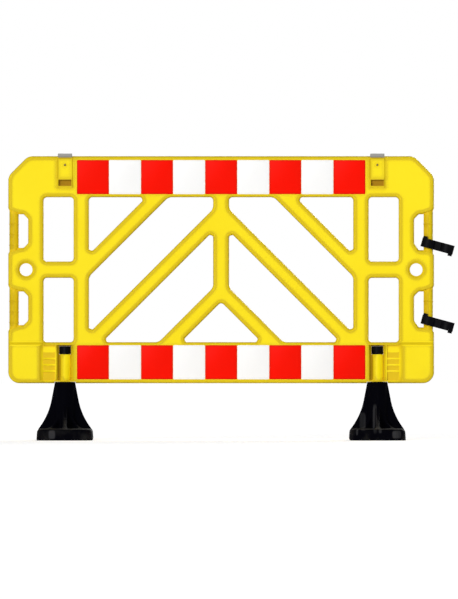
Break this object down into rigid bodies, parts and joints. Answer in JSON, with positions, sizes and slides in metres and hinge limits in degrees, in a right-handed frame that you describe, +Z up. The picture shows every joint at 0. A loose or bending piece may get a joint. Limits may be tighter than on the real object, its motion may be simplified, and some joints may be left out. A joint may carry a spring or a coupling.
{
  "type": "plastic barricade",
  "caption": "Free-standing yellow plastic barricade: a braced lattice panel with red and white reflective bands, swivelling black feet, lamp sockets and links to a neighbour.",
  "frame": {"origin": "on the ground, midway between the feet, under the middle of the panel's thickness", "axes": "X along the panel with the links at +X, the front face looks to -Y, Z up"},
  "size_m": [1.5726, 0.48, 1.009],
  "materials": {
    "panel_yellow": "moulded satin",
    "sheeting_red": "reflective sheeting",
    "sheeting_white": "reflective sheeting",
    "foot_rubber": "moulded, dull",
    "black_plastic": "moulded satin",
    "screw_black": "black oxide"
  },
  "bodies": {
    "panel": {"panel": "panel_yellow", "front_top_red_sheeting": "sheeting_red", "front_top_white_sheeting": "sheeting_white", "rear_top_red_sheeting": "sheeting_red", "rear_top_white_sheeting": "sheeting_white", "front_bottom_red_sheeting": "sheeting_red", "front_bottom_white_sheeting": "sheeting_white", "rear_bottom_red_sheeting": "sheeting_red", "rear_bottom_white_sheeting": "sheeting_white", "left_lamp_sleeve": "black_plastic", "left_lamp_screw": "screw_black", "right_lamp_sleeve": "black_plastic", "right_lamp_screw": "screw_black"},
    "left_foot": {"left_foot": "foot_rubber", "left_foot_spindle": "black_plastic", "left_retaining_cap": "black_plastic"},
    "right_foot": {"right_foot": "foot_rubber", "right_foot_spindle": "black_plastic", "right_retaining_cap": "black_plastic"},
    "upper_link": {"upper_link": "black_plastic"},
    "lower_link": {"lower_link": "black_plastic"}
  },
  "joints": [
    {"name": "left_foot_swivel", "type": "hinge", "parent": "panel", "child": "left_foot", "pos_m": [-0.55, 0, 0.205], "axis": [0, 0, 1], "range_deg": [-90, 90]},
    {"name": "right_foot_swivel", "type": "hinge", "parent": "panel", "child": "right_foot", "pos_m": [0.55, 0, 0.205], "axis": [0, 0, 1], "range_deg": [-90, 90]},
    {"name": "upper_link_swing", "type": "hinge", "parent": "panel", "child": "upper_link", "pos_m": [0.7295, 0, 0.69203], "axis": [0, 0, 1], "range_deg": [-105, 105]},
    {"name": "lower_link_swing", "type": "hinge", "parent": "panel", "child": "lower_link", "pos_m": [0.7295, 0, 0.42003], "axis": [0, 0, 1], "range_deg": [-105, 105]}
  ]
}
